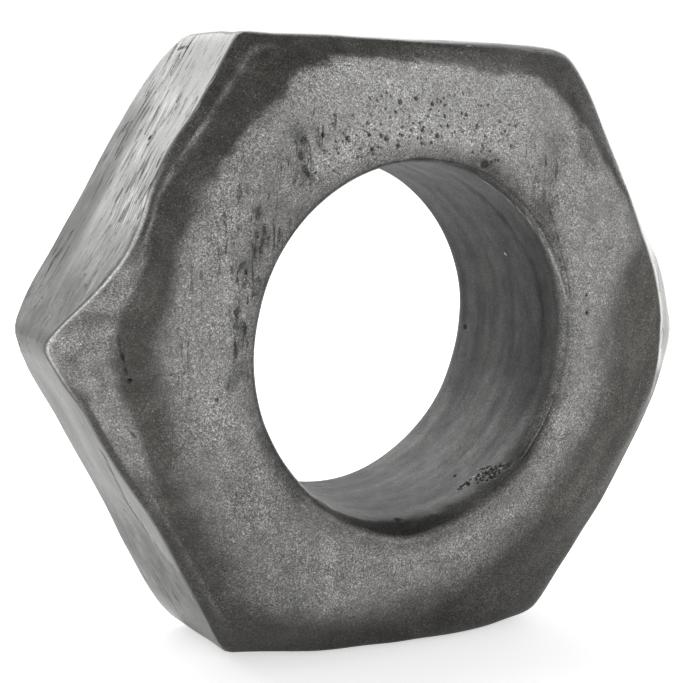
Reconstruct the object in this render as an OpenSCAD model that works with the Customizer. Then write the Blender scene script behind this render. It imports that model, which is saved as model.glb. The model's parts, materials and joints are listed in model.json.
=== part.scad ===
// Hexagonal nut with a plain through bore, moulded in one piece.
// It stands on one flat: Z is up, the bore runs along Y, and the front face looks towards -Y.
// The origin is the centre of the bore, halfway through the thickness. Millimetres.

/* [Hexagon] */
// Distance across two opposite flats
across_flats = 65; // [55:1:80]
// Radius of the six edges between one flat and the next
corner_round = 2; // [0.5:0.25:4]
// Thickness from the front face to the back face
thickness = 22; // [16:0.5:30]

/* [Chamfers] */
// Diameter of the flat ring that is left on each face
face_d = 59; // [48:0.5:62]
// Angle between the domed chamfer and its face where the two meet, in degrees
chamfer_angle = 26; // [15:1:40]

/* [Bore] */
// Diameter of the plain bore
bore_d = 38; // [25:0.5:42]
// Widening of the radius at each mouth of the bore
mouth_width = 0.8; // [0.5:0.1:2]
// Depth of the widening, measured along the bore
mouth_depth = 1.2; // [0.5:0.1:3]

/* [Hidden] */

// Cutters stand this far past what they cut
clear = 5;
half = thickness / 2;
bore_r = bore_d / 2;
// Distance of each corner's arc centre from the axis. It is also the length of the
// straight stretch of a side, because a hexagon's side equals its corner radius.
arc_centre = (across_flats / 2 - corner_round) / cos(30);
// Each chamfer is part of a sphere, centred on the axis, that meets the rim of the face ring
dome_r = face_d / 2 / sin(chamfer_angle);
dome_centre = dome_r * cos(chamfer_angle) - half;

// The outline seen along the bore, with a side at +Y and at -Y and an arc at each corner
module rounded_hexagon() {
    for (turn = [0, 60, 120])
        rotate(turn) square([arc_centre, across_flats], center = true);
    for (turn = [0:60:300])
        rotate(turn) translate([arc_centre, 0]) circle(r = corner_round, $fn = 48);
}

// A six-sided slab whose corners are domed off towards both faces
module domed_slab() {
    intersection() {
        linear_extrude(height = thickness, center = true) rounded_hexagon();
        translate([0, 0, -dome_centre]) sphere(r = dome_r, $fn = 180);
        translate([0, 0, dome_centre]) sphere(r = dome_r, $fn = 180);
    }
}

// The plain bore along Z
module bore() {
    cylinder(h = thickness + 2 * clear, r = bore_r, $fn = 180, center = true);
}

// The cone that widens the mouth of the bore at the +Z face
module bore_mouth() {
    slope = mouth_width / mouth_depth;
    translate([0, 0, half - mouth_depth])
        cylinder(h = mouth_depth + clear, r1 = bore_r,
                 r2 = bore_r + slope * (mouth_depth + clear), $fn = 180);
}

// The whole nut, lying flat with its bore along Z
module flat_nut() {
    difference() {
        domed_slab();
        bore();
        for (side = [0, 1])
            mirror([0, 0, side]) bore_mouth();
    }
}

// The moulded body, stood up on one flat
module nut_body() {
    color("dimgray")
        rotate([90, 0, 0]) flat_nut();
}

nut_body();
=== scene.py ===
"""A plain-bore hex nut, moulded in one piece from grey metal-flake rubber.

One dense mesh stands for the CAD node: an uneven hexagon with soft edges, flow marks,
drag lines, bubbles and a flash line.
Lengths are in millimetres until the mesh is made. Angles run round the bore in degrees,
as the front face is seen: 0 is the right-hand corner (+X) and 90 the top flat (+Z).
A table that maps numbers to numbers gives a value at each of these angles.
"""

import json
import math
from types import SimpleNamespace

import bmesh
import bpy
import numpy as np
from mathutils import Matrix, Vector


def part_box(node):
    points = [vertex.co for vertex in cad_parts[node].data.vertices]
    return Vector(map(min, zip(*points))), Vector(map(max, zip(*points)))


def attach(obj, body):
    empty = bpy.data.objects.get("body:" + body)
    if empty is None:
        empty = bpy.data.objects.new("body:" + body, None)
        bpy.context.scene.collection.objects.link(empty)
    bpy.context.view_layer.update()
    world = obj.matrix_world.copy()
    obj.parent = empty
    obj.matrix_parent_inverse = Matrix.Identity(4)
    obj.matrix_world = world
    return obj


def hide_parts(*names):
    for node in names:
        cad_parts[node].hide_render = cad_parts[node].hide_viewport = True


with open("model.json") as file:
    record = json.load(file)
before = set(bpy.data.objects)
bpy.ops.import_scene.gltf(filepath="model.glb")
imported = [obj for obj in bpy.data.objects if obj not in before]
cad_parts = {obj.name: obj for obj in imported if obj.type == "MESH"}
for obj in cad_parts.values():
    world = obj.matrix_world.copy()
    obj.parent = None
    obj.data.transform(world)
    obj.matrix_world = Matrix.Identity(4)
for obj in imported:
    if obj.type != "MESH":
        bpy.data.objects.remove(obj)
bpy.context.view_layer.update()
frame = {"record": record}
MM = 0.001
# Each random draw starts from this seed plus a number of its own
SEED = 41

# ---------------- sizes from the frame
cad_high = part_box("nut_body")[1]
HALF_FLATS = cad_high.z / MM
HALF_THICK = cad_high.y / MM
bore_mount = next(m for m in frame["record"]["mounts"] if m["name"] == "bore")
BORE_R = bore_mount["dims"]["r_mm"]
WALL_END = bore_mount["dims"]["length_mm"] / 2
LIP_R = BORE_R + 0.8
# The uneven bottom reaches this much further down than the CAD flat
SAG = 0.9
FLOOR_Z = -(HALF_FLATS + SAG)

# ---------------- camera
CAMERA_PLACE = (-89.4, -148.0, 23.7)
# Degrees to the right of straight back, degrees down, and roll
CAMERA_AIM = (30.2, 8.17, 1.74)
CAMERA_LENS = 83.5
SENSOR = 36


def make_camera():
    azimuth, fall, roll = (math.radians(a) for a in CAMERA_AIM)
    aim = Matrix.Rotation(-azimuth, 4, "Z") @ Matrix.Rotation(math.pi / 2 - fall, 4, "X")
    data = bpy.data.cameras.new("camera")
    data.sensor_width = SENSOR
    data.lens = CAMERA_LENS
    data.clip_start = 0.005
    camera = bpy.data.objects.new("camera", data)
    bpy.context.scene.collection.objects.link(camera)
    place = Matrix.Translation(Vector(CAMERA_PLACE) * MM)
    camera.matrix_world = place @ aim @ Matrix.Rotation(roll, 4, "Z")
    bpy.context.scene.camera = camera


# ---------------- outline of the nut
# How far each side lies beyond half the distance across flats, by the angle it faces
SIDES = {30: 0.6, 90: -0.9, 150: 0.8, 210: 0.3, 270: 0.4, 330: 1.0}
# How far the outline bulges beyond those straight sides
SWELL = {
    0: 0.35, 10: 0.9, 20: 0.6, 32: 0.3, 45: 0.25, 60: 0.1, 82: 0, 100: 0, 180: 0,
    260: 0, 280: 0.2, 290: 0.5, 300: 0.2, 310: 0, 330: 0, 345: 0.3,
}
# How much further out the side lies at the back than at the front
DRAFT = {
    0: 0.4, 14: 0.6, 40: 0, 60: 0, 90: -0.1, 115: -0.3, 150: 0.1, 200: 0.1,
    226: 0.3, 236: 0.3, 242: -0.4, 256: 0, 300: -0.3, 320: 0.4, 345: 0.5,
}
# Softness of the six long edges
CORNER_SOFT = {0: 1.0, 60: 1.2, 120: 0.4, 180: 0.4, 240: 0.4, 300: 0.9}
# Where the front face ends and its chamfer starts, from the bore's axis
FRONT_RING = {
    0: 33.0, 6: 32.8, 11: 32.4, 17: 31.7, 22: 31.1, 29: 31.0, 37: 30.8, 50: 30.7, 64: 30.9,
    75: 29.6, 88: 29.0, 104: 30.2, 115: 31.4, 124: 30.8, 137: 29.9, 157: 29.7, 172: 28.7,
    185: 28.6, 197: 27.8, 208: 28.9, 220: 29.6, 226: 30.3, 232: 32.0, 244: 31.3, 252: 30.2,
    260: 29.0, 272: 28.5, 285: 29.0, 298: 30.0, 312: 30.5, 330: 31.3, 345: 32.8, 353: 33.1,
}
BACK_RING = {0: 29.8, 60: 29.4, 120: 28.9, 180: 28.6, 240: 29.0, 300: 29.5}
# How far behind the front face a side starts, and how far before the back face it ends
FRONT_EDGE = {
    0: 4.4, 14: 3.0, 30: 2.6, 46: 2.4, 60: 2.6, 74: 1.2, 90: 0.9, 106: 1.6, 119: 3.2,
    127: 3.5, 136: 3.3, 145: 4.2, 151: 4.0, 157: 2.3, 163: 1.7, 168: 2.9, 172: 4.8, 176: 7.2,
    180: 8.7, 185: 8.4, 190: 7.2, 197: 6.9, 204: 6.0, 212: 4.3, 224: 4.8, 232: 5.4, 240: 6.4,
    255: 3.6, 270: 2.4, 285: 2.6, 300: 3.9, 316: 2.4, 330: 2.0, 346: 2.8,
}
BACK_EDGE = {
    0: 3.6, 30: 1.4, 60: 3.6, 90: 1.4, 115: 4.2, 120: 6.2, 124: 4.4, 127: 2.6, 131: 1.9, 150: 1.7,
    168: 1.6, 173: 1.8, 177: 3.0, 180: 4.6, 182: 3.4, 186: 2.1, 196: 2.7, 210: 2.4, 218: 1.8, 226: 1.3,
    234: 1.1, 241: 1.8, 255: 1.4, 270: 1.2, 300: 3.6, 330: 1.2,
}
# Length that the rounding of the front face's edge takes, and of the side's front edge
RING_ROUNDING = {
    0: 0.6, 12: 0.6, 25: 0.8, 40: 1.5, 60: 1.6, 90: 1.0, 120: 1.8, 150: 2.2, 172: 4.2,
    190: 4.4, 215: 2.6, 245: 2.4, 270: 3.0, 300: 4.0, 335: 3.5, 350: 0.7,
}
EDGE_ROUNDING = {
    0: 3.0, 30: 1.8, 60: 1.8, 95: 0.8, 150: 0.6, 180: 0.5, 240: 0.7, 270: 1.0, 300: 2.4, 330: 1.8,
}
# How far the bore's front mouth reaches down its wall, and how far out it starts
FRONT_MOUTH = {0: 2.2, 45: 1.6, 90: 1.2, 135: 0.8, 180: 0.8, 225: 1.1, 262: 2.7, 290: 2.7, 330: 2.5}
LIP_OUT = {0: 0, 180: 0, 238: 0, 254: 0.4, 268: 0.75, 280: 0.4, 292: 0, 320: 0}
# How much the bore's wall closes in towards the back
CLOSING = {0: 0.1, 55: 0.3, 90: 0.2, 180: 0.1, 270: 0.2, 310: 0.5}
# The two sides in view, by the angle they face
UPPER_LEFT = 150
LOWER_LEFT = 210


def round_the_bore(table, angle):
    """A table's value at each angle, eased between its entries."""
    keys = np.array(sorted(table), float)
    values = np.array([table[k] for k in sorted(table)], float)
    keys = np.append(keys, keys[0] + 360)
    values = np.append(values, values[0])
    a = (angle - keys[0]) % 360 + keys[0]
    i = np.clip(np.searchsorted(keys, a, side="right") - 1, 0, len(keys) - 2)
    t = (a - keys[i]) / (keys[i + 1] - keys[i])
    # Catmull-Rom slopes keep the curve smooth through its entries
    before, after = (i - 1) % (len(keys) - 1), (i + 2) % (len(keys) - 1)
    m0 = (values[i + 1] - values[before]) / 2
    m1 = (values[after] - values[i]) / 2
    t2, t3 = t * t, t * t * t
    return ((2 * t3 - 3 * t2 + 1) * values[i] + (t3 - 2 * t2 + t) * m0
            + (3 * t2 - 2 * t3) * values[i + 1] + (t3 - t2) * m1)


# A side counts towards the outline down to this cosine of the angle from its direction
NEAREST_COSINE = 0.2


def outline(angle, back):
    """Radius of the rounded hexagon. back runs from 0 at the front face to 1 at the back."""
    soft = round_the_bore(CORNER_SOFT, angle)
    draft = round_the_bore(DRAFT, angle) * back
    total = 0
    for facing, offset in SIDES.items():
        turn = np.cos(np.radians(angle - facing))
        distance = HALF_FLATS + offset + draft
        beyond = distance / np.maximum(turn, NEAREST_COSINE) - HALF_FLATS
        total = total + np.where(turn > NEAREST_COSINE, np.exp(-beyond / soft), 0)
    return HALF_FLATS - soft * np.log(total) + round_the_bore(SWELL, angle)


# ---------------- base mesh
# The cross-section's corners, in order. A vertex's station says where it lies along the section:
# a whole number at each corner, and in between along the line to the next one.
#   0 back end of the bore's wall     4 front edge of the side
#   1 front end of the bore's wall    5 back edge of the side
#   2 front lip of the bore           6 outer edge of the back face
#   3 outer edge of the front face    7 back lip of the bore

# Columns round the bore in each sixth, and how much closer they stand at the corners
COLUMNS = 42
CROWDING = 1.4
# A chamfer reaches inwards at least this share of its depth
CHAMFER_REACH = 0.8
# The same length for the other corners
WALL_ROUNDING = 1.2
LIP_ROUNDING = 0.7
BACK_EDGE_ROUNDING = 0.8
BACK_RING_ROUNDING = 2.4
# The greatest share of a line that a rounding takes
ROUNDING_SHARE = 0.45
# The stations that the rounding of a corner covers
ARC_STATIONS = 0.25
# Rows of vertices across each corner's rounding, and along the line to the next one
ARC_STEPS = [4, 7, 7, 8, 7, 5, 5, 5]
LINE_STEPS = [44, 5, 16, 14, 92, 6, 10, 3]


def column_angles():
    u = np.arange(COLUMNS) / COLUMNS * 2 - 1
    sixth = 30 * np.sinh(CROWDING * u) / math.sinh(CROWDING)
    return np.concatenate([sixth + 60 * k for k in range(6)])


def length_of(vectors):
    return np.linalg.norm(vectors, axis=1, keepdims=True)


def filleted(points, cuts):
    """Rounds each corner of a closed chain of (radius, y) arrays. A cut is the length that the
    rounding takes on both sides of its corner. Returns the rows and the station of each."""
    rows, stations = [], []
    n = len(points)
    for i in range(n):
        here, last, after = points[i], points[i - 1], points[(i + 1) % n]
        to_last, to_next = last - here, after - here
        far_last, far_next = length_of(to_last), length_of(to_next)
        far_after = length_of(points[(i + 2) % n] - after)
        cut = np.minimum(cuts[i], ROUNDING_SHARE * np.minimum(far_last, far_next))
        next_cut = np.minimum(cuts[(i + 1) % n], ROUNDING_SHARE * np.minimum(far_next, far_after))
        start, end = here + to_last / far_last * cut, here + to_next / far_next * cut
        next_start = after - to_next / far_next * next_cut
        for k in range(ARC_STEPS[i]):
            t = k / ARC_STEPS[i]
            rows.append((1 - t) ** 2 * start + 2 * t * (1 - t) * here + t * t * end)
            stations.append(i + ARC_STATIONS * (t - 0.5))
        for k in range(LINE_STEPS[i]):
            t = k / LINE_STEPS[i]
            rows.append(end + (next_start - end) * t)
            stations.append(i + ARC_STATIONS / 2 + (1 - ARC_STATIONS) * t)
    return rows, stations


def section(angle):
    """The nut's cross-section at each angle, with rounded corners."""
    front_depth = round_the_bore(FRONT_EDGE, angle)
    back_depth = round_the_bore(BACK_EDGE, angle)
    front_y, back_y = -HALF_THICK, HALF_THICK
    side_front = outline(angle, front_depth / (2 * HALF_THICK))
    side_back = outline(angle, 1 - back_depth / (2 * HALF_THICK))
    front_ring = np.minimum(round_the_bore(FRONT_RING, angle), side_front - CHAMFER_REACH * front_depth)
    back_ring = np.minimum(round_the_bore(BACK_RING, angle), side_back - CHAMFER_REACH * back_depth)
    corners = [
        (BORE_R - round_the_bore(CLOSING, angle), WALL_END),
        (BORE_R, front_y + round_the_bore(FRONT_MOUTH, angle)),
        (LIP_R + round_the_bore(LIP_OUT, angle), front_y),
        (front_ring, front_y),
        (side_front, front_y + front_depth),
        (side_back, back_y - back_depth),
        (back_ring, back_y),
        (LIP_R, back_y),
    ]
    corners = [np.stack([radius + 0 * angle, y + 0 * angle], 1) for radius, y in corners]
    ring_cut = round_the_bore(RING_ROUNDING, angle)[:, None]
    edge_cut = round_the_bore(EDGE_ROUNDING, angle)[:, None]
    cuts = [WALL_ROUNDING, WALL_ROUNDING, LIP_ROUNDING, ring_cut, edge_cut,
            BACK_EDGE_ROUNDING, BACK_RING_ROUNDING, LIP_ROUNDING]
    return filleted(corners, cuts)


def base_mesh():
    """A closed grid of quads. Each vertex keeps its station."""
    angle = column_angles()
    rows, stations = section(angle)
    a = np.radians(angle)
    grid = np.stack([np.stack([r[:, 0] * np.cos(a), r[:, 1], r[:, 0] * np.sin(a)], 1) for r in rows])
    n_rows, n_columns = len(rows), len(angle)
    index = np.arange(n_rows * n_columns).reshape(n_rows, n_columns)
    down, across = np.roll(index, -1, 0), np.roll(index, -1, 1)
    faces = np.stack([index, across, np.roll(down, -1, 1), down], -1).reshape(-1, 4)
    mesh = bpy.data.meshes.new("nut_skin")
    mesh.from_pydata(grid.reshape(-1, 3).tolist(), [], faces.tolist())
    attribute = mesh.attributes.new("station", "FLOAT", "POINT")
    attribute.data.foreach_set("value", np.repeat(np.array(stations, np.float32), n_columns))
    return mesh


# ---------------- small marks
# Pits in the front face: centre as (x, z), radius and depth
LARGE_PITS = [
    ((-9.7, 21.3), 0.3, 0.26), ((-5.2, 21.4), 0.3, 0.28), ((-6.8, 20.3), 0.26, 0.26),
    ((-7.4, 22.9), 0.24, 0.22), ((-3.7, 25.1), 0.3, 0.25), ((-1.8, 25.5), 0.26, 0.22),
    ((0.2, 25.0), 0.26, 0.22), ((-3.8, 20.7), 0.24, 0.22), ((0.9, 21.8), 0.3, 0.25),
    ((-0.9, 22.3), 0.26, 0.22), ((-7.2, 21.7), 0.24, 0.22), ((-5.8, 21.7), 0.24, 0.22),
    ((-12.5, 21.6), 0.26, 0.22), ((21.8, 2.7), 0.25, 0.24), ((21.6, 4.7), 0.2, 0.2),
    ((-23.4, -4.2), 0.22, 0.24), ((-31.35, -2.3), 0.19, 0.35), ((7.1, 18.9), 0.6, 0.12),
]
# Many small ones lie above the bore, between these angles and distances
SMALL_PITS = 120
PIT_ZONE_TURNS = (58, 128)
PIT_ZONE_RADII = (20.6, 26.6)
SMALL_PIT_RADII = (0.1, 0.19)
# Scratches in the front face: two ends as (x, z), half width and depth
SCRATCHES = [
    ((-14.6, 21.3), (-14.9, 19.4), 0.3, 0.16), ((-14.5, 18.4), (-13.9, 17.7), 0.3, 0.2),
    ((-15.2, 18.6), (-15.6, 16.8), 0.22, 0.12), ((-18.6, 12.8), (-19.0, 10.2), 0.3, 0.16),
    ((-19.4, 12.2), (-19.6, 9.8), 0.24, 0.12), ((-18.2, 11.4), (-18.4, 10.4), 0.2, 0.1),
    ((-20.8, 9.2), (-21.4, 8.4), 0.26, 0.14), ((-22.0, 9.4), (-22.1, 8.2), 0.22, 0.12),
    ((-20.6, 8.3), (-20.8, 6.9), 0.24, 0.12), ((-21.3, 4.9), (-21.6, 3.1), 0.34, 0.16),
    ((-21.0, 3.6), (-20.9, 2.4), 0.24, 0.12), ((-11.9, -25.3), (-10.8, -26.9), 0.16, 0.05),
    ((-10.8, -26.9), (-10.3, -26.6), 0.16, 0.05), ((-32.5, 2.1), (-32.2, 0.7), 0.09, 0.12),
    ((-32.2, 0.7), (-31.6, -1.8), 0.1, 0.15), ((-31.1, -7.0), (-30.3, -8.1), 0.15, 0.16),
    ((15.8, 17.6), (16.0, 13.8), 0.2, 0.07), ((16.0, 13.8), (17.3, 10.6), 0.13, 0.1),
    ((17.3, 10.6), (18.5, 7.6), 0.12, 0.1), ((18.5, 7.6), (19.3, 4.8), 0.1, 0.06),
]
# Bubbles that broke the sides: centre, radius and depth
SIDE_PITS = [
    ((-26.4, -0.8, 20.7), 0.26, 0.3), ((-35.8, 3.9, 4.4), 0.22, 0.2), ((-38.0, 6.0, -0.5), 0.45, 0.4),
    ((-21.14, 4.6, 29.8), 0.24, 0.1), ((-21.1, 4.1, 29.85), 0.3, 0.11), ((-21.08, 3.5, 29.9), 0.26, 0.1),
    ((-21.05, 2.9, 29.92), 0.22, 0.07), ((-21.04, 2.3, 29.95), 0.2, 0.05), ((-37.5, 6.9, -0.7), 0.3, 0.3),
    ((-30.2, 8.6, 14.9), 0.18, 0.2), ((-29.0, 4.6, -16.5), 0.15, 0.15),
]
# Soft bands on the face, as two ends, half width and strength: where it crazed into upright
# cracks, where the flakes lie thicker, and where the face is darker
CRACKLE = [
    ((-12.6, 23.0), (-15.5, 16.0), 1.5, 0.9), ((-16.5, 17.0), (-20.0, 8.5), 2.2, 1.0),
    ((-20.5, 9.5), (-21.4, -2.0), 1.3, 1.0), ((-21.5, 16.5), (-24.5, 9.0), 1.6, 0.7),
    ((-26.0, 9.0), (-27.2, -6.0), 1.0, 0.5), ((15.7, 21.0), (16.0, 15.0), 1.1, 0.8),
    ((12.5, 20.5), (14.5, 16.0), 1.6, 0.5), ((16.3, 13.5), (18.0, 8.0), 0.6, 0.7),
]
LIGHT_BANDS = [
    ((-10.6, -18.8), (-10.4, -27.0), 0.9, 0.22), ((-13.0, 18.5), (-10.2, 20.3), 1.0, 0.22),
    ((-24.5, 17.0), (-20.5, 22.5), 1.6, 0.16), ((23.0, 12.6), (20.3, 8.3), 0.7, 0.22),
    ((22.4, 11.4), (22.0, 6.4), 0.8, 0.12),
]
DARKER_BANDS = [
    ((-21.2, 5.5), (-21.5, -2.5), 0.8, 0.45), ((-14.9, 22.0), (-14.6, 17.0), 0.9, 0.35),
    ((-19.0, 13.5), (-20.4, 8.0), 1.1, 0.35), ((16.5, 21.5), (15.2, 14.0), 1.5, 0.28),
    ((-18.5, -8.0), (-13.5, -15.6), 0.8, 0.4), ((6.6, 19.2), (7.6, 18.7), 0.7, 0.6),
    ((18.4, 26.0), (21.0, 19.0), 1.3, 0.42), ((-25.0, 20.0), (-21.0, 23.5), 1.2, 0.15),
]


def smooth(low, high, value):
    """0 at low and 1 at high, eased at both ends. low may be the higher of the two."""
    t = np.clip((value - low) / (high - low), 0, 1)
    return t * t * (3 - 2 * t)


def strip(value, low, high, edge):
    """1 between low and high, and 0 outside, with soft ends."""
    return smooth(low - edge, low + edge, value) * smooth(high + edge, high - edge, value)


def bell(distance, radius):
    """1 at no distance, and 0 from radius on."""
    return np.clip(1 - (distance / radius) ** 2, 0, 1) ** 2


def wrapped(turn, middle):
    """Degrees from middle, between -180 and 180."""
    return (turn - middle + 180) % 360 - 180


def from_segment(x, z, start, end):
    """Distance of each point from a straight line between two ends."""
    run = np.array(end, float) - np.array(start, float)
    length = max(float(run @ run), 1e-9)
    t = np.clip(((x - start[0]) * run[0] + (z - start[1]) * run[1]) / length, 0, 1)
    return np.hypot(x - start[0] - t * run[0], z - start[1] - t * run[1])


def from_bore_mark(turn, y, at, level):
    """Distance of each point of the bore wall from a mark at an angle and y."""
    return np.hypot(np.radians(wrapped(turn, at)) * BORE_R, y - level)


def waves(points, wavelength, seed, count=26):
    """A smooth random field of about that wavelength, with a spread of 1."""
    rng = np.random.default_rng(seed)
    heading = rng.normal(size=(count, 3))
    heading /= np.linalg.norm(heading, axis=1, keepdims=True)
    number = 2 * math.pi / wavelength * rng.uniform(0.7, 1.35, count)
    phase = rng.uniform(0, 2 * math.pi, count)
    total = np.cos(points @ (heading * number[:, None]).T + phase).sum(1)
    return total * math.sqrt(2 / count)


def small_pits():
    """Round pits above the bore, closest together in the middle of their zone."""
    rng = np.random.default_rng(SEED)
    low, high = PIT_ZONE_TURNS
    near, far = PIT_ZONE_RADII
    turn = np.radians(low + (high - low) * rng.beta(2.0, 1.7, SMALL_PITS))
    radius = near + (far - near) * rng.beta(1.5, 1.7, SMALL_PITS)
    size = rng.uniform(*SMALL_PIT_RADII, SMALL_PITS)
    return [((r * math.cos(a), r * math.sin(a)), s, 0.75 * s) for a, r, s in zip(turn, radius, size)]


# The bore's rough patch: its middle as angle and y, its spread, and its slant for each degree
PATCH_TURN, PATCH_Y = 308, -8.2
PATCH_SPREAD = (3.6, 0.75)
PATCH_SLANT = -0.19
BUBBLE_DEPTH = 0.14


def rough_patch(rng, count, low, high):
    """Round marks in the bore's rough patch, with radii between low and high."""
    marks = []
    for _ in range(count):
        turn = rng.normal(PATCH_TURN, PATCH_SPREAD[0])
        y = PATCH_Y + PATCH_SLANT * (turn - PATCH_TURN) + rng.normal(0, PATCH_SPREAD[1])
        marks.append((turn, y, rng.uniform(low, high), BUBBLE_DEPTH))
    return marks


def bore_bubbles():
    """The rough patch, a trail to it and lone bubbles, as angle, y, radius and depth."""
    rng = np.random.default_rng(SEED + 1)
    trail = [
        (rng.uniform(296, 301), rng.normal(-6.9, 0.25), rng.uniform(0.1, 0.2), BUBBLE_DEPTH)
        for _ in range(16)
    ]
    lone = [(269, -8.4, 0.45, 0.2), (263, -8.7, 0.25, 0.15), (356, 8.4, 0.4, 0.2), (301, -4.0, 0.22, 0.15)]
    return rough_patch(rng, 80, 0.1, 0.19) + trail + lone


def bore_grains():
    """Grains stuck to the bore wall, made light as a painted highlight."""
    chip = [(27.0, -1.9, 0.24, 0.1), (26.6, -2.15, 0.18, 0.1)]
    return rough_patch(np.random.default_rng(SEED + 13), 26, 0.1, 0.15) + chip


PITS = LARGE_PITS + small_pits()
BUBBLES = bore_bubbles()
GRAINS = bore_grains()
# Faces near a mark are split until their edges are this short
FINE = 0.16
# How far round each kind of mark they are split
PIT_MARGIN = 0.35
SCRATCH_MARGIN = 0.3
SIDE_PIT_MARGIN = 0.9
BUBBLE_MARGIN = 0.3


def near_mark(co):
    """True where a point of the mesh lies close to a small mark."""
    x, y, z = co.T
    front = y < -5
    near = np.zeros(len(co), bool)
    for centre, radius, _ in PITS:
        near |= front & (np.hypot(x - centre[0], z - centre[1]) < radius + PIT_MARGIN)
    for start, end, width, _ in SCRATCHES:
        near |= front & (from_segment(x, z, start, end) < width + SCRATCH_MARGIN)
    for centre, radius, _ in SIDE_PITS:
        near |= np.linalg.norm(co - centre, axis=1) < radius + SIDE_PIT_MARGIN
    in_bore = np.hypot(x, z) < BORE_R + 0.2
    turn = np.degrees(np.arctan2(z, x)) % 360
    for at, level, radius, _ in BUBBLES + GRAINS:
        near |= in_bore & (from_bore_mark(turn, y, at, level) < radius + BUBBLE_MARGIN)
    return near


def rows_of_the_glossy_side(bm):
    """The edges across the rows of the upper left side, which shows its drag lines most."""
    facing = math.radians(UPPER_LEFT)
    outward = Vector((math.cos(facing), 0, math.sin(facing)))
    crossing = []
    for edge in bm.edges:
        a, b = (v.co for v in edge.verts)
        on_side = min(a.dot(outward), b.dot(outward)) > HALF_FLATS - 0.3
        if on_side and abs(b.y - a.y) > 0.8 * (b - a).length:
            crossing.append(edge)
    return crossing


def refine(bm):
    """Splits the rows of the glossy side, and the faces near small marks."""
    bmesh.ops.subdivide_edges(bm, edges=rows_of_the_glossy_side(bm), cuts=1, use_grid_fill=True)
    for _ in range(3):
        faces = list(bm.faces)
        middles = np.array([f.calc_center_median() for f in faces])
        edges = set()
        for face, near in zip(faces, near_mark(middles)):
            if near:
                edges.update(e for e in face.edges if e.calc_length() > FINE)
        bmesh.ops.subdivide_edges(bm, edges=list(edges), cuts=1, use_grid_fill=True)
    odd = [f for f in bm.faces if len(f.verts) > 4]
    bmesh.ops.triangulate(bm, faces=odd)


# ---------------- relief and masks
# The master was shaped by hand, so nothing is quite flat: wave height, wavelength and seed
MASTER_WAVES = ((0.06, 17, SEED + 2), (0.018, 6, SEED + 3))
# The front face falls away to the right and lower right: how far, between which distances from
# the bore's axis, at which depths that fades out, and round which angle
FALL = 0.7
FALL_RADII = (23, 32)
FALL_DEPTHS = (0.2, 2.6)
FALL_TURN = 325
FALL_REACH = (-58, 48)
# Drag lines on each side: how many groups, lines in each group and greatest depth
DRAG = {
    30: (4, 7, 0.03), 90: (4, 8, 0.03), 150: (11, 10, 0.07),
    210: (2, 3, 0.02), 270: (4, 8, 0.03), 330: (4, 7, 0.03),
}
DRAG_HALF_LENGTH = 4.0
DRAG_HALF_WIDTHS = (0.11, 0.2)
# Two low ridges along the left-hand chamfers: first and last angle, and station
RIDGES = ((122, 170, 3.62), (193, 236, 3.58))
RIDGE_HEIGHT = 0.13
# A fold along the bore wall, darkened with painted shade: y at each angle
FOLD = {-40: -7.4, -2: -6.8, 10: -6.5, 23: -6.4, 35: -5.4, 49: -4.9, 70: -3.6}
# A flash line round the upper right of the bore's mouth: y at each angle
FLASH = {8: -10.4, 16: -10.3, 22: -10.05, 29: -9.98, 35: -9.78, 40: -9.72, 46: -9.57, 53: -9.31, 75: -9.2}
FLASH_HEIGHT = 0.1
# A nick in the bore's lip: its place, radius and depth
NICK = ((18.9, -10.6, -6.2), 1.5, 0.4)
# Where the light strip of the lower left side ends, as distance down the side and y
STRIP_END = [(-7.0, -2.9), (-0.4, -0.8), (3.8, -2.1), (6.0, -4.2), (6.8, -6.1), (16.0, -9.0)]
# How light the front mouth of the bore is, and how much painted shade darkens it
MOUTH_LIGHT = {
    0: 0.8, 20: 0.95, 35: 0.85, 45: 0.6, 55: 0.4, 75: 0.32, 95: 0.15, 180: 0.1, 240: 0, 312: 0.05, 340: 0.4,
}
MOUTH_DARK = {
    0: 0, 225: 0, 240: 0.4, 252: 0.68, 262: 0.74, 275: 0.7, 288: 0.5, 300: 0.38, 318: 0.3, 335: 0,
}
# The station at which the glossy side starts: at its front edge, and on the right already
# where the chamfer starts
GLOSS_START = {
    0: 3.0, 14: 3.0, 28: 3.02, 36: 3.7, 45: 3.92, 60: 3.93, 95: 3.97, 150: 3.98, 240: 3.98,
    265: 3.98, 280: 4.08, 300: 4.13, 335: 4.13, 343: 3.95, 350: 3.03,
}
# The station at which the light patch at the left-hand corner ends
PATCH_END = {140: 3.95, 178: 3.95, 187: 3.81, 215: 3.78}
# How light the front chamfer is, and the painted highlight on the crests of the low ridges along it
CHAMFER_LIGHT = {
    0: 0, 40: 0.04, 60: 0.1, 90: 0.05, 108: 0.02, 125: 0, 150: 0.06, 175: 0,
    240: 0, 270: 0, 330: 0,
}
RIDGE_LIGHT = {120: 0.42, 175: 0.42, 195: 0.22, 236: 0.15}
# How strongly thin lines score the sides
SCORED = {
    0: 0.2, 15: 0.2, 35: 0.5, 90: 0.5, 125: 0.8, 140: 1.0, 165: 1.0, 174: 0.3, 182: 0.1,
    210: 0.15, 270: 0.5, 330: 0.5, 345: 0.2,
}
# Where the light flakes of the front face end, from the bore's axis: at the face's own edge from
# the upper right round to the lower left, and short of it elsewhere, where the dark rubber is
# painted shade on the face sloping away
LIGHT_EDGE = {turn: radius for turn, radius in FRONT_RING.items() if 50 <= turn <= 260}
LIGHT_EDGE.update({
    0: 24.5, 12: 26.0, 22: 30.8, 35: 30.2, 232: 31.4, 244: 31.0, 272: 28.0, 285: 26.5, 298: 24.5,
    312: 23.6, 330: 24.0, 345: 24.5,
})
# How gently they end there: half the width of the change
LIGHT_FADE = {
    0: 2.6, 14: 2.4, 24: 1.2, 50: 0.35, 140: 0.4, 165: 0.9, 190: 1.5, 220: 2.2, 245: 1.8,
    262: 2.4, 290: 3.0, 330: 2.6,
}
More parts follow.
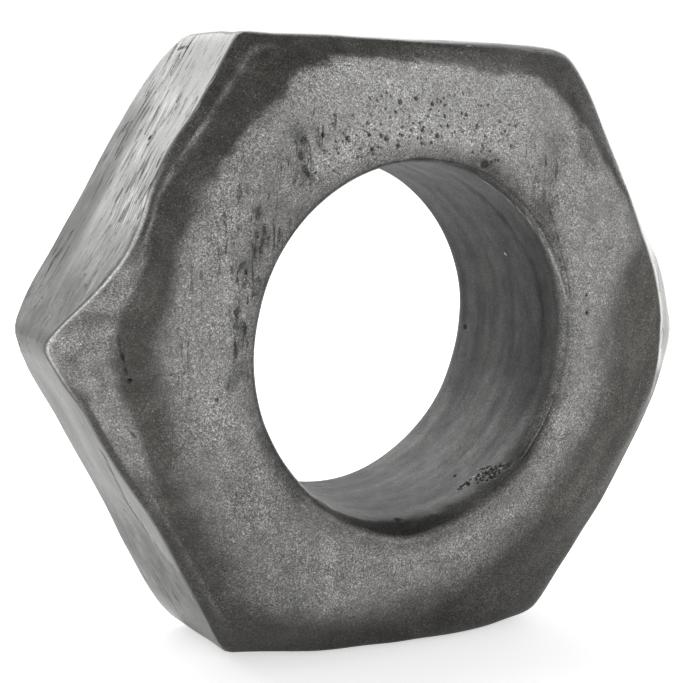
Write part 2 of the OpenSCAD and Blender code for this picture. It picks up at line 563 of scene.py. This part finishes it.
# How thickly they lie on the front face, and on the back face as far as its ring. On the front
# face the level is also painted light: lighter at the top, darker towards the bottom
LIGHT_LEVEL = {
    0: 0.57, 30: 0.59, 60: 0.74, 90: 1.0, 112: 0.84, 128: 0.56, 148: 0.5, 175: 0.72, 200: 0.6, 220: 0.48,
    245: 0.57, 270: 0.62, 300: 0.62, 330: 0.6,
}
BACK_LIGHT = 0.62
BACK_LIGHT_EDGE = (28.8, 30.2)
# A side takes the vertices within this many degrees of its middle
SIDE_REACH = 32


def drag_lines(facing):
    """Short lines along a side, as start, end, y, slope, half width and depth."""
    groups, each, deepest = DRAG[facing]
    rng = np.random.default_rng(SEED + facing)
    lines = []
    for _ in range(groups):
        middle, level = rng.uniform(-13, 13), rng.uniform(-8.5, 8.5)
        for _ in range(each):
            centre = middle + rng.normal(0, 3.5)
            half = rng.uniform(0.6, 1.0) ** 3 * DRAG_HALF_LENGTH
            height = level + rng.normal(0, 1.0)
            # one line in three stands up
            depth = rng.uniform(0.35, 1) * deepest * rng.choice([-0.6, 1, 1])
            slope = rng.normal(0.02, 0.03)
            width = rng.uniform(*DRAG_HALF_WIDTHS)
            lines.append((centre - half, centre + half, height, slope, width, depth))
    return lines


def side_relief(along, y, facing):
    """Height of the surface of one side: drag lines over long shallow waves."""
    flow = np.stack([along / 3.2, y, 0 * y], 1)
    lift = 0.02 * waves(flow, 5.0, SEED + 7 * facing)
    lift += 0.003 * waves(flow * [1, 2, 1], 1.8, SEED + 9 * facing)
    for start, end, level, slope, width, depth in drag_lines(facing):
        ends = smooth(start - 0.8, start + 0.8, along) * smooth(end + 0.8, end - 0.8, along)
        wobble = 0.08 * np.sin(along * 1.3 + level)
        lift -= depth * ends * bell(y - level - slope * (along - start) - wobble, width)
    return lift


def vectors(mesh, name):
    values = np.zeros(len(mesh.vertices) * 3)
    mesh.vertices.foreach_get(name, values)
    return values.reshape(-1, 3)


class Skin:
    """Where the vertices lie, how far to lift each, and how dark and light it is."""

    def __init__(self, mesh):
        self.co = vectors(mesh, "co")
        self.normal = vectors(mesh, "normal")
        self.station = np.zeros(len(self.co), np.float32)
        mesh.attributes["station"].data.foreach_get("value", self.station)
        self.x, self.y, self.z = self.co.T
        self.rho = np.hypot(self.x, self.z)
        self.turn = np.degrees(np.arctan2(self.z, self.x)) % 360
        self.mottle = waves(self.co, 2.2, SEED + 4)
        self.lift, self.dark, self.light = np.zeros((3, len(self.co)))
        # masks of the front face, the sides, the bore's wall, its mouth and its inside
        past_gloss = self.station - self.at_angle(GLOSS_START)
        self.front = (self.y < 0) & (self.station > 1.9) & (self.station < 4.1)
        self.side = smooth(0.0, 0.03, past_gloss) * smooth(5.1, 4.9, self.station)
        self.wall = 1 - smooth(0.95, 1.15, self.station) + smooth(7.75, 7.9, self.station)
        self.mouth = strip(self.station, 1.05, 1.9, 0.08)
        self.inner = smooth(1.8, 1.7, self.station)

    def at_angle(self, table):
        return round_the_bore(table, self.turn)

    def along_side(self, facing):
        """How far each vertex lies along a side, from the side's middle."""
        a = math.radians(facing)
        return -self.x * math.sin(a) + self.z * math.cos(a)

    def on_side(self, facing):
        return np.abs(wrapped(self.turn, facing)) < SIDE_REACH

    def darken(self, amount):
        self.dark = np.maximum(self.dark, amount)

    def lighten(self, amount):
        self.light = np.maximum(self.light, amount)


def shape_like_the_master(skin):
    for height, wavelength, seed in MASTER_WAVES:
        skin.lift += height * waves(skin.co, wavelength, seed)
    skin.lift *= 1 - 0.6 * skin.wall
    for facing in SIDES:
        mine = skin.on_side(facing)
        relief = skin.side * side_relief(skin.along_side(facing), skin.y, facing)
        skin.lift[mine] += relief[mine]


def fall_of_the_face(skin):
    """How far back each vertex moves where the front face falls away."""
    shallow, deep = FALL_DEPTHS
    outwards = smooth(*FALL_RADII, skin.rho)
    near_face = smooth(deep, shallow, skin.y + HALF_THICK)
    return FALL * skin.front * outwards * near_face * strip(wrapped(skin.turn, FALL_TURN), *FALL_REACH, 14)


def sink_pits(skin):
    # Sinks the pits, and darkens them with painted shade in their hollows
    for centre, radius, depth in PITS:
        d = np.hypot(skin.x - centre[0], skin.z - centre[1]) / radius
        skin.lift -= skin.front * depth * smooth(1.1, 0.5, d)
        skin.darken(skin.front * smooth(1.1, 0.6, d) * 0.85)
    for centre, radius, depth in SIDE_PITS:
        d = np.linalg.norm(skin.co - centre, axis=1) / radius
        skin.lift -= depth * smooth(1.1, 0.4, d)
        skin.darken(smooth(1.25, 0.7, d) * min(5 * depth, 1))


def scratch_the_face(skin):
    # Cuts the scratches, and darkens them with painted shade in their hollows
    torn_edge = 0.35 * waves(skin.co, 1.1, SEED + 12)
    for start, end, width, depth in SCRATCHES:
        d = from_segment(skin.x, skin.z, start, end) / width + torn_edge
        skin.lift -= skin.front * depth * smooth(1.0, 0.3, d)
        skin.darken(skin.front * smooth(1.1, 0.3, d) * min(4.5 * depth, 0.8))


def soft_bands(skin, bands, combine, uneven=0.35, core=0.0, reach=1.5):
    """A mask of some soft bands on the front face."""
    total = np.zeros(len(skin.co))
    for start, end, width, strength in bands:
        d = (from_segment(skin.x, skin.z, start, end) + uneven * skin.mottle) / width
        total = combine(total, skin.front * smooth(reach, core, d) * strength)
    return total


def raise_ridges(skin):
    """Lifts the two ridges, and returns a mask of their crests."""
    crests = np.zeros(len(skin.co))
    for low, high, at in RIDGES:
        stretch = strip(skin.turn, low, high, 6)
        height = RIDGE_HEIGHT * stretch * (1 + 0.3 * waves(skin.co, 5, SEED + 5))
        skin.lift += skin.front * height * bell(skin.station - at, 0.2)
        crests = np.maximum(crests, skin.front * stretch * bell(skin.station - at, 0.11))
    return crests


def flow_in_the_bore(skin):
    bands = np.stack([skin.x / 9, skin.y, skin.z / 9], 1)
    flow = waves(bands, 3.2, SEED + 6) + 0.7 * waves(bands, 1.5, SEED + 8)
    skin.lift += skin.wall * 0.008 * flow
    return flow


def mark_the_bore(skin):
    """Bubbles, the fold, painted shade on the wall's right and in the mouth, a crease in the mouth and the
    nick.
    """
    # Bubbles sink, and painted shade darkens them
    for at, level, radius, depth in BUBBLES:
        d = from_bore_mark(skin.turn, skin.y, at, level) / radius
        skin.lift -= skin.inner * depth * smooth(1.1, 0.4, d)
        skin.darken(skin.inner * smooth(1.1, 0.5, d) * 0.5)
    from_right = wrapped(skin.turn, 0)
    # Painted shade on the right of the wall, which would otherwise reflect the bright backdrop
    skin.darken(0.12 * skin.wall * strip(from_right, -40, 45, 20))
    # Painted shade darkens the fold
    from_fold = skin.y - np.interp(from_right, list(FOLD), list(FOLD.values())) + 0.15 * skin.mottle
    fold = skin.wall * strip(from_right, -30, 60, 10) * bell(from_fold, 0.9)
    skin.lift -= 0.04 * fold
    skin.darken(0.36 * fold)
    # Painted shade in the lower part of the front mouth
    mouth_shade = strip(skin.station + 0.02 * skin.mottle, 1.05, 1.93, 0.035)
    skin.darken(mouth_shade * skin.at_angle(MOUTH_DARK))
    skin.lift += 0.09 * strip(skin.turn, 318, 343, 3) * bell(skin.station - 1.75, 0.12)
    place, radius, depth = NICK
    skin.lift -= depth * bell(np.linalg.norm(skin.co - place, axis=1), radius)


def grains_in_the_bore(skin):
    grains = np.zeros(len(skin.co))
    for at, level, radius, _ in GRAINS:
        d = from_bore_mark(skin.turn, skin.y, at, level) / radius
        grains = np.maximum(grains, skin.inner * smooth(1.1, 0.4, d))
    return grains


def flash_line(skin):
    from_flash = skin.y - np.interp(skin.turn, list(FLASH), list(FLASH.values()))
    in_mouth = strip(skin.station, 0.9, 1.97, 0.03)
    return in_mouth * strip(skin.turn, 10, 66, 5) * bell(from_flash, 0.17)


def grey_the_upper_left_side(skin):
    """Paints shade on its back, top and bottom, as darker reflections, and darkens the right-hand corner
    where the gloss starts.
    """
    up = -skin.along_side(UPPER_LEFT)
    back = 0.55 * smooth(1.5, 4.5, skin.y) * strip(up, -12, 10, 5)
    top = 0.18 * smooth(9, 13, up)
    bottom = 0.16 * smooth(-3, -9, up)
    skin.darken(skin.side * skin.on_side(UPPER_LEFT) * np.max([back, top, bottom], 0))
    skin.darken(skin.side * skin.front * 0.6 * strip(skin.turn, 344, 353, 2))


def shade_the_lower_left_side(skin):
    """A groove that ends a light strip, darkened with painted shade, and a grey patch of painted shade
    beyond, where the side reflects darker parts of the room. Returns the bright lower end, a painted
    reflection of the floor.
    """
    down = skin.along_side(LOWER_LEFT)
    here = skin.side * skin.on_side(LOWER_LEFT)
    behind = np.min([from_segment(down, skin.y, a, b) for a, b in zip(STRIP_END, STRIP_END[1:])], 0)
    behind *= np.where(skin.y > np.interp(down, *zip(*STRIP_END)), 1, -1)
    groove = here * strip(down, -7.5, 5, 1.0) * bell(behind - 0.1 * skin.mottle, 0.32)
    skin.lift -= 0.08 * groove
    painted_shade = here * smooth(-1, 6, down) * smooth(16.5, 13.5, down) * smooth(-0.1, 0.35, behind)
    painted_shade *= smooth(9.5, 6.0, skin.y + 0.5 * skin.mottle) * (1 + 0.15 * skin.mottle)
    skin.darken(np.maximum(0.5 * groove, 0.36 * painted_shade))
    return here * smooth(10.5, 13.5, down - 0.3 * (skin.y + 5)) * strip(skin.y, -12, 1, 2)


def lay_light_flakes_and_highlights(skin, crests, raised):
    """On the faces, in the bore's mouth, on the ridges' crests and on raised marks. On the crests and raised
    marks the light colour is a painted highlight, and on the front face it also paints light and shade.
    """
    edge, fade = skin.at_angle(LIGHT_EDGE), skin.at_angle(LIGHT_FADE)
    ragged = skin.rho + 0.18 * waves(skin.co, 3.5, SEED + 10) + 0.1 * waves(skin.co, 1.4, SEED + 11)
    skin.lighten(smooth(edge + fade, edge - fade, ragged) * skin.front * skin.at_angle(LIGHT_LEVEL))
    skin.lighten(skin.mouth * skin.at_angle(MOUTH_LIGHT))
    skin.lighten(skin.front * skin.at_angle(CHAMFER_LIGHT))
    skin.lighten(raised)
    skin.light += (skin.light > 0.2) * soft_bands(skin, LIGHT_BANDS, np.add, uneven=0.3)
    short_of_end = smooth(0.03, -0.03, skin.station - skin.at_angle(PATCH_END))
    corner = strip(wrapped(skin.turn, 186), -24, 17, 8) * smooth(3.2, 3.4, skin.station) * short_of_end
    skin.lighten(0.58 * corner * (1 + 0.2 * skin.mottle) * skin.front)
    skin.lighten(skin.at_angle(RIDGE_LIGHT) * crests * (1 + 0.5 * skin.mottle))
    back = (skin.y > 0) & (skin.station > 4.9) & (skin.station < 7.1)
    on_back = smooth(*BACK_LIGHT_EDGE[::-1], ragged) * back
    skin.lighten(BACK_LIGHT * on_back * (1 + 0.1 * skin.mottle))


def raised_rim(skin):
    """Lifts the sharp edge at the left-hand corner, and returns it as a mask for a painted highlight."""
    rim = strip(skin.turn, 150, 186, 7) * bell(skin.station - 3.93, 0.09)
    skin.lift += 0.06 * rim
    return rim


def dull_the_lips(skin):
    """Takes light flake colour off the bore's lips as painted shade on their rounding, but for the right of
    the front one.
    """
    lips = strip(skin.station, 1.8, 2.2, 0.1) * (1 - strip(wrapped(skin.turn, 0), -35, 30, 10))
    lips += strip(skin.station, 6.85, 7.2, 0.1)
    skin.light *= 1 - 0.6 * np.clip(lips, 0, 1)


def finish_surface(mesh):
    """Moves the vertices, and keeps the masks that the material reads."""
    skin = Skin(mesh)
    shape_like_the_master(skin)
    fall = fall_of_the_face(skin)
    sink_pits(skin)
    scratch_the_face(skin)
    skin.darken(soft_bands(skin, DARKER_BANDS, np.maximum))
    crests = raise_ridges(skin)
    flow = flow_in_the_bore(skin)
    mark_the_bore(skin)
    grains = grains_in_the_bore(skin)
    flash = flash_line(skin)
    # The flash line and the grains stand up, and the light flake colour paints a highlight on them
    raised = np.maximum(flash, grains)
    skin.lift += FLASH_HEIGHT * raised
    grey_the_upper_left_side(skin)
    bright_end = shade_the_lower_left_side(skin)
    crackle = soft_bands(skin, CRACKLE, np.maximum, core=0.3, reach=1.4)
    lay_light_flakes_and_highlights(skin, crests, raised)
    rim = raised_rim(skin)
    skin.lighten(rim)
    dull_the_lips(skin)
    # One mask holds painted highlights on the rim, the flash line and the grains, and a painted reflection
    # of the floor at the lower end of the lower left side
    masks = {
        "light": skin.light,
        "gloss": skin.side,
        "wall": skin.wall * (1 - raised),
        "dark": skin.dark,
        "flow": 0.5 + 0.2 * flow,
        "scored": skin.side * skin.at_angle(SCORED),
        "crackle": crackle,
        "worn": np.max([rim, 0.6 * flash, 0.7 * grains, bright_end], 0),
    }
    skin.co += skin.normal * skin.lift[:, None]
    skin.co[:, 1] += fall
    mesh.vertices.foreach_set("co", skin.co.ravel())
    for name, value in masks.items():
        layer = mesh.attributes.new(name, "FLOAT", "POINT")
        layer.data.foreach_set("value", np.clip(value, 0, 1).astype(np.float32))
    mesh.update()


def make_nut():
    mesh = base_mesh()
    bm = bmesh.new()
    bm.from_mesh(mesh)
    if bm.calc_volume(signed=True) < 0:
        bmesh.ops.reverse_faces(bm, faces=bm.faces)
    refine(bm)
    bm.to_mesh(mesh)
    bm.free()
    finish_surface(mesh)
    mesh.transform(Matrix.Scale(MM, 4))
    mesh.polygons.foreach_set("use_smooth", [True] * len(mesh.polygons))
    nut = bpy.data.objects.new("nut_skin", mesh)
    bpy.context.scene.collection.objects.link(nut)
    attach(nut, "root")
    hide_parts("nut_body")
    return nut


# ---------------- material
class Nodes:
    """Adds nodes to a tree. Their inputs may be sockets or plain values."""

    def __init__(self, tree):
        self.tree = tree

    def feed(self, socket, value):
        if isinstance(value, bpy.types.NodeSocket):
            self.tree.links.new(value, socket)
        else:
            socket.default_value = value

    def add(self, kind, inputs=None, **settings):
        node = self.tree.nodes.new("ShaderNode" + kind)
        for name, value in settings.items():
            setattr(node, name, value)
        for name, value in (inputs or {}).items():
            self.feed(node.inputs[name], value)
        return node

    def mask(self, name):
        return self.add("Attribute", attribute_name=name).outputs["Fac"]

    def math(self, operation, a, b=0.0, clamp=False):
        return self.add("Math", {0: a, 1: b}, operation=operation, use_clamp=clamp).outputs[0]

    def chain(self, operation, first, *others):
        for other in others:
            first = self.math(operation, first, other)
        return first

    def times(self, *values):
        return self.chain("MULTIPLY", *values)

    def plus(self, *values):
        return self.chain("ADD", *values)

    def less(self, amount, share):
        """1 less that share of an amount."""
        return self.math("SUBTRACT", 1.0, self.times(amount, share))

    def span(self, value, low, high, to_low, to_high):
        inputs = {"Value": value, "From Min": low, "From Max": high, "To Min": to_low, "To Max": to_high}
        return self.add("MapRange", inputs).outputs["Result"]

    def step(self, value, off, on, most=1.0):
        """0 at off, and most at on. off may be the higher of the two."""
        return self.span(value, off, on, 0.0, most)

    def sway(self, value, reach, amount):
        """1 where the value is 0.5, and up to that amount more or less around it."""
        return self.span(value, 0.5 - reach, 0.5 + reach, 1 - amount, 1 + amount)

    def blend(self, factor, a, b):
        return self.add("Mix", {"Factor": factor, "A": a, "B": b}, data_type="FLOAT").outputs["Result"]

    def tint(self, factor, a, b):
        inputs = {0: factor, 6: a, 7: b}
        return self.add("Mix", inputs, data_type="RGBA").outputs[2]

    def vector(self, operation, a, b=(0, 0, 0)):
        return self.add("VectorMath", {0: a, 1: b}, operation=operation).outputs["Vector"]

    def scaled(self, a, scale):
        return self.add("VectorMath", {0: a, "Scale": scale}, operation="SCALE").outputs["Vector"]

    def along(self, vector, axis):
        return self.add("SeparateXYZ", {"Vector": vector}).outputs[axis]

    def channel(self, colour, name):
        return self.add("SeparateColor", {"Color": colour}).outputs[name]

    def noise(self, place, scale, detail, **more):
        inputs = {"Vector": place, "Scale": scale, "Detail": detail, **more}
        return self.add("TexNoise", inputs).outputs["Fac"]

    def cells(self, place, scale):
        return self.add("TexVoronoi", {"Vector": place, "Scale": scale}).outputs


# How many lie along a metre. A flake is about 0.1 mm across.
FLAKES = 10500
LARGE_FLAKES = 7000
GLINTS = 2400
PINHOLES = 1900
PINHOLE_CLUSTERS = 170
CRACKS = 1500
STREAKS = 1400
STREAK_GROUPS = 140
FLOW_PATCHES = 560
CLOUDS = 190
BLOTCHES = 750
GRAIN = 2600
# How much longer than wide streaks and flow patches are, at this radius in metres
STREAK_LENGTHS = 4.5
PATCH_LENGTHS = 3
STREAK_RADIUS = 0.034
# The cracks' pattern varies fastest along x, so they run up and down
CRACK_SQUEEZE = (1.0, 0.6, 0.22)
# Higher powers leave fewer bright flakes
FLAKE_POWER = 1.6
LARGE_FLAKE_POWER = 9.0
LARGE_FLAKE_SHINE = 0.9
# Colours of the four zones: bare rubber, light flakes, glossy sides and bore wall
# The chamfers' dark bare rubber is partly painted shade, where they reflect the darker room
RUBBER_COLOUR = (0.094, 0.091, 0.083, 1)
FLAKE_COLOUR = (0.44, 0.434, 0.428, 1)
GLOSSY_COLOUR = (0.21, 0.21, 0.2, 1)
WALL_COLOUR = (0.102, 0.102, 0.1, 1)
# For the same zones: roughness, how far flakes tilt the normal, and how much their tones differ
ROUGHNESS = (0.34, 0.52, 0.17, 0.5)
FLAKE_TILT = (0.165, 0.55, 0.0165, 0.1)
FLAKE_CONTRAST = (0.85, 1.0, 0.1, 0.5)
METAL_SHARE = 0.6
# How much these darken, lighten or roughen
# The dark mask is mostly painted shade: in pits, scratches and bubbles, on the fold, in the bore's mouth and
# on its wall, and on the sides where they reflect darker parts of the room. The rest is darker bands on the
# front face
DARK_MASK_DARKENS = 0.8
# Tears, cracks and pinholes take painted shade in their hollows; ridges, glints and the highlight mask add
# painted highlights
TEAR_SHADE_DARKENS = 0.62
RIDGES_LIGHTEN = 0.5
GLINTS_LIGHTEN = 1.6
HIGHLIGHT_LIGHTENS = 0.9
DARK_MASK_ROUGHENS = 0.4
# Relief that only the shading shows, in metres
GRAIN_HEIGHT = 0.00008
TEAR_DEPTH = 0.00024


def round_the_axis(n, place, lengths, third):
    """Coordinates that stretch a pattern round the bore's axis, with no seam."""
    outward = n.vector("NORMALIZE", n.vector("MULTIPLY", place, (1, 0, 1)))
    ring = n.scaled(outward, STREAK_RADIUS / lengths)
    return n.vector("ADD", ring, n.add("CombineXYZ", {"Y": third}).outputs[0])


def drag_streaks(n, place, scored):
    """Thin grooves that run along each side, and the ridges between them: painted shade in the grooves and a
    painted highlight on the ridges.
    """
    stretched = round_the_axis(n, place, STREAK_LENGTHS, n.along(place, "Y"))
    lines = n.noise(stretched, STREAKS, 1.0)
    where = n.times(n.span(n.noise(place, STREAK_GROUPS, 2.0), 0.45, 0.57, 0.12, 1.0), scored)
    return n.times(n.step(lines, 0.60, 0.63), where), n.times(n.step(lines, 0.40, 0.37), where)


def flow_patches(n, place):
    """Patches drawn out round the axis, as the rubber flowed."""
    flat = n.vector("MULTIPLY", place, (1, 0, 1))
    from_axis = n.add("VectorMath", {0: flat}, operation="LENGTH").outputs["Value"]
    third = n.math("SUBTRACT", from_axis, n.along(place, "Y"))
    drawn = round_the_axis(n, place, PATCH_LENGTHS, third)
    return n.noise(drawn, FLOW_PATCHES, 6.0, Roughness=0.65)


def glints(n, place):
    """Painted glints: the few flakes that catch the light, lightened in the base colour."""
    cell = n.cells(place, GLINTS)
    chosen = n.step(n.channel(cell["Color"], "Green"), 0.93, 0.95)
    return n.times(chosen, n.step(cell["Distance"], 0.22, 0.12))


def upright_cracks(n, place, where):
    squeezed = n.vector("MULTIPLY", place, CRACK_SQUEEZE)
    lines = n.noise(squeezed, CRACKS, 3.0, Distortion=0.5)
    return n.times(n.step(lines, 0.57, 0.63), where)


def pinholes(n, place, light):
    """Tiny holes between the flakes, in loose clusters."""
    cell = n.cells(place, PINHOLES)
    chosen = n.step(n.channel(cell["Color"], "Red"), 0.62, 0.66)
    dot = n.step(cell["Distance"], 0.24, 0.14)
    clusters = n.noise(place, PINHOLE_CLUSTERS, 3.0)
    there = n.times(n.step(clusters, 0.48, 0.6, most=0.8), light)
    return n.times(chosen, dot, there)


def zoned(n, masks, values, outside_wall=None):
    """A value for each zone. outside_wall multiplies it except on the bore wall."""
    rubber, flakes, glossy, wall = values
    value = n.blend(masks.gloss, n.blend(masks.light, rubber, flakes), glossy)
    if outside_wall is not None:
        value = n.times(value, outside_wall)
    return n.blend(masks.wall, value, wall)


def flake_sparkle(n, place, masks, flake, cloud):
    large = n.channel(n.cells(place, LARGE_FLAKES)["Color"], "Green")
    rare = n.times(n.math("POWER", large, LARGE_FLAKE_POWER), LARGE_FLAKE_SHINE)
    speck = n.plus(n.math("POWER", n.channel(flake, "Red"), FLAKE_POWER), rare)
    contrast = zoned(n, masks, FLAKE_CONTRAST, n.span(cloud, 0.35, 0.65, 0.75, 1.3))
    return n.plus(n.times(n.math("SUBTRACT", speck, 0.5), contrast), 1.0)


def mottling(n, place, masks, cloud, blotch):
    patches = flow_patches(n, place)
    drawn = n.blend(masks.gloss, n.sway(patches, 0.15, 0.24), n.sway(patches, 0.15, 0.13))
    drawn = n.blend(masks.light, drawn, n.sway(patches, 0.15, 0.08))
    bands = n.blend(masks.wall, 1.0, n.sway(masks.flow, 0.4, 0.2))
    return n.times(n.sway(cloud, 0.2, 0.14), n.sway(blotch, 0.2, 0.08), drawn, bands)


def tone_of_each_spot(n, place, masks, even_tone, torn, ridges):
    # Painted shade comes off for the dark mask and the tears; painted highlights come on for the glints, the
    # highlight mask and the ridges
    tone = n.times(even_tone, n.less(masks.dark, DARK_MASK_DARKENS))
    faces = n.math("SUBTRACT", n.math("SUBTRACT", 1.0, masks.gloss), masks.wall, clamp=True)
    tone = n.plus(tone, n.times(glints(n, place), faces, GLINTS_LIGHTEN))
    tone = n.plus(tone, n.times(masks.worn, HIGHLIGHT_LIGHTENS))
    return n.times(tone, n.less(torn, TEAR_SHADE_DARKENS), n.plus(1.0, n.times(ridges, RIDGES_LIGHTEN)))


def zone_colours(n, masks):
    colour = n.tint(masks.light, RUBBER_COLOUR, FLAKE_COLOUR)
    colour = n.tint(masks.gloss, colour, GLOSSY_COLOUR)
    return n.tint(masks.wall, colour, WALL_COLOUR)


def shading_normal(n, place, masks, flake, torn):
    """Tilts the normal flake by flake, and adds grain and sunken tears."""
    tilt = zoned(n, masks, FLAKE_TILT)
    facet = n.scaled(n.vector("SUBTRACT", flake, (0.5, 0.5, 0.5)), tilt)
    facing = n.add("NewGeometry").outputs["Normal"]
    faceted = n.vector("NORMALIZE", n.vector("ADD", facing, facet))
    strength = n.blend(masks.gloss, 0.35, 0.06)
    grain = {"Height": n.noise(place, GRAIN, 3.0), "Strength": strength, "Distance": GRAIN_HEIGHT}
    grained = n.add("Bump", {**grain, "Normal": faceted}).outputs["Normal"]
    tears = {"Height": torn, "Strength": 1.0, "Distance": TEAR_DEPTH, "Normal": grained}
    return n.add("Bump", tears, invert=True).outputs["Normal"]


def flake_rubber():
    """Dark rubber full of metal flakes. The masks say where each zone lies."""
    material = bpy.data.materials.new("flake_rubber")
    material.use_nodes = True
    n = Nodes(material.node_tree)
    shader = material.node_tree.nodes["Principled BSDF"]
    place = n.add("TexCoord").outputs["Object"]
    names = ("light", "gloss", "wall", "dark", "flow", "scored", "crackle", "worn")
    masks = SimpleNamespace(**{name: n.mask(name) for name in names})
    streaks, ridges = drag_streaks(n, place, masks.scored)
    cracks = upright_cracks(n, place, masks.crackle)
    holes = pinholes(n, place, masks.light)
    torn = n.chain("MAXIMUM", streaks, cracks, holes)

    flake = n.cells(place, FLAKES)["Color"]
    cloud = n.noise(place, CLOUDS, 5.0, Roughness=0.55)
    blotch = n.noise(place, BLOTCHES, 4.0)
    sparkle = flake_sparkle(n, place, masks, flake, cloud)
    even_tone = n.times(sparkle, mottling(n, place, masks, cloud, blotch))
    tone = tone_of_each_spot(n, place, masks, even_tone, torn, ridges)
    n.feed(shader.inputs["Base Color"], n.scaled(zone_colours(n, masks), tone))

    rough = n.plus(zoned(n, masks, ROUGHNESS), n.span(blotch, 0.3, 0.7, -0.05, 0.06))
    rough = n.math("ADD", rough, n.times(masks.dark, DARK_MASK_ROUGHENS), clamp=True)
    n.feed(shader.inputs["Roughness"], rough)
    n.feed(shader.inputs["Normal"], shading_normal(n, place, masks, flake, torn))
    shader.inputs["Metallic"].default_value = METAL_SHARE
    return material


# ---------------- studio, in metres
# A white backdrop for the camera, and a room that is dimmer in front of the nut
WHITE_BACKDROP = 1.0
FRONT_GLOW = 0.34
BACK_GLOW = 0.8
# How bright the floor looks to the camera, and how much it lights the nut
FLOOR_GLOW = 0.58
FLOOR_LIGHT = 0.1
FLOOR_SIZE = 6
WHITE = (1, 1, 1, 1)
FLOOR_PAINT = {
    "Base Color": (0.9, 0.9, 0.9, 1), "Roughness": 0.9, "Specular IOR Level": 0.1, "Emission Color": WHITE,
}
# Lamps that face the nut: name, place, size and brightness
LAMPS = [
    ("overhead", (0.05, 0.75, 0.95), (1.6, 1.1), 1.0),
    ("back_left", (-0.13, 0.55, 0.315), (0.6, 0.28), 1.4),
    ("back_right", (0.59, 0.38, 0.05), (0.42, 0.45), 0.35),
    ("low_right", (0.118, 0.048, 0.0), (0.14, 0.065), 1.3),
    ("front_left", (-0.46, -0.44, 0.05), (0.24, 0.36), 2.2),
    ("front_right", (0.42, -0.56, 0.18), (0.5, 0.5), 1.22),
]


def make_world():
    world = bpy.data.worlds.new("studio")
    bpy.context.scene.world = world
    world.use_nodes = True
    n = Nodes(world.node_tree)
    backwards = n.along(n.add("TexCoord").outputs["Generated"], "Y")
    ramp = {"Value": backwards, "From Min": -0.1, "From Max": 0.4, "To Min": FRONT_GLOW, "To Max": BACK_GLOW}
    glow = n.add("MapRange", ramp, interpolation_type="SMOOTHSTEP").outputs["Result"]
    seen = n.add("LightPath").outputs["Is Camera Ray"]
    background = world.node_tree.nodes["Background"]
    background.inputs["Color"].default_value = WHITE
    n.feed(background.inputs["Strength"], n.blend(seen, glow, WHITE_BACKDROP))


def make_floor():
    """A pale floor that glows for the camera."""
    bpy.ops.mesh.primitive_plane_add(size=FLOOR_SIZE, location=(0, 0, FLOOR_Z * MM))
    floor = bpy.context.object
    floor.name = "floor"
    paint = bpy.data.materials.new("pale_floor")
    paint.use_nodes = True
    shader = paint.node_tree.nodes["Principled BSDF"]
    for name, value in FLOOR_PAINT.items():
        shader.inputs[name].default_value = value
    n = Nodes(paint.node_tree)
    seen = n.add("LightPath").outputs["Is Camera Ray"]
    n.feed(shader.inputs["Emission Strength"], n.blend(seen, FLOOR_LIGHT, FLOOR_GLOW))
    floor.data.materials.append(paint)


def softbox(name, place, size, brightness):
    data = bpy.data.lights.new(name, "AREA")
    data.shape = "RECTANGLE"
    data.size, data.size_y = size
    data.energy = brightness * math.pi * size[0] * size[1]
    lamp = bpy.data.objects.new(name, data)
    lamp.location = place
    lamp.rotation_euler = (-Vector(place)).to_track_quat("-Z", "Y").to_euler()
    lamp.visible_camera = False
    bpy.context.scene.collection.objects.link(lamp)


make_camera()
nut = make_nut()
nut.data.materials.append(flake_rubber())
make_world()
make_floor()
for lamp in LAMPS:
    softbox(*lamp)
bpy.context.scene.view_settings.view_transform = "Standard"
